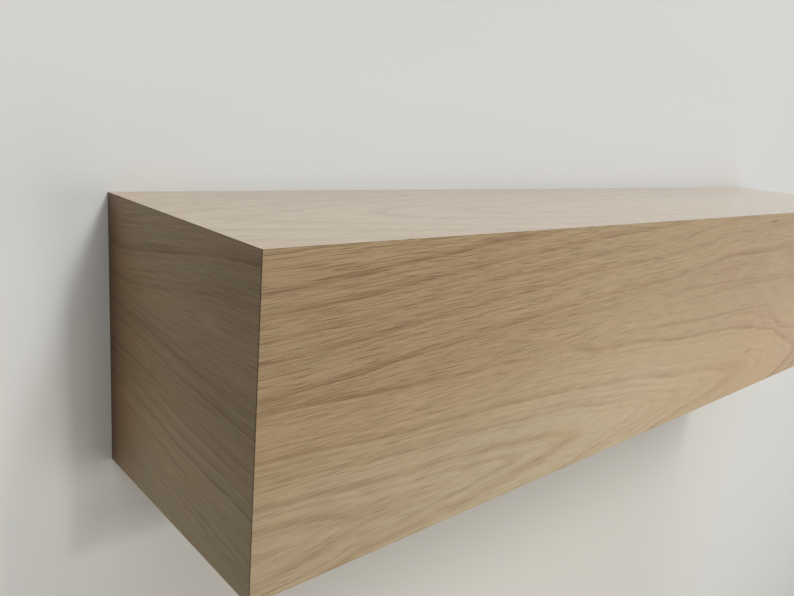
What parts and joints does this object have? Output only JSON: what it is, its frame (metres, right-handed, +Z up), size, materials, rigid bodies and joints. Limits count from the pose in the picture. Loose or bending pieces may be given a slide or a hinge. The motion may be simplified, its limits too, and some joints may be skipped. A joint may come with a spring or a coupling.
{
  "type": "floating wall shelf",
  "caption": "Hollow mitred box shelf in pale oak veneer that hangs flush on a wall from a hidden French cleat.",
  "frame": {"origin": "centre of the wall cleat's back face, on the wall's plane", "axes": "+X along the shelf, to the right as seen from the room; +Y into the wall; +Z up"},
  "size_m": [1, 0.2, 0.2],
  "materials": {
    "oak_veneer": "matt lacquered white oak, straight and cathedral grain",
    "plywood": "raw birch plywood, plies showing at the cut edges",
    "softwood": "planed pine, raw",
    "beech": "pressed beech, raw",
    "screw_steel": "yellow zinc plated",
    "felt": "pressed grey-brown felt"
  },
  "bodies": {
    "wall_side": {"wall_cleat": "plywood"},
    "shelf": {"hanging_rail": "plywood", "spacer_batten": "plywood", "wall_pads": "felt", "back_panel": "plywood", "top_veneer": "oak_veneer", "bottom_veneer": "oak_veneer", "front_veneer": "oak_veneer", "left_end_veneer": "oak_veneer", "right_end_veneer": "oak_veneer", "top_core": "plywood", "bottom_core": "plywood", "front_core": "plywood", "left_end_core": "plywood", "right_end_core": "plywood", "left_rib": "plywood", "middle_rib": "plywood", "right_rib": "plywood", "top_front_biscuits": "beech", "bottom_front_biscuits": "beech", "left_end_biscuits": "beech", "right_end_biscuits": "beech", "top_glue_blocks": "softwood", "bottom_glue_blocks": "softwood", "hanging_rail_screws": "screw_steel", "spacer_batten_screws": "screw_steel"}
  },
  "joints": [
    {"name": "lift_off", "type": "slide", "parent": "wall_side", "child": "shelf", "axis": [0, -0.7071, 0.7071], "range_m": [0, 0.12]}
  ]
}
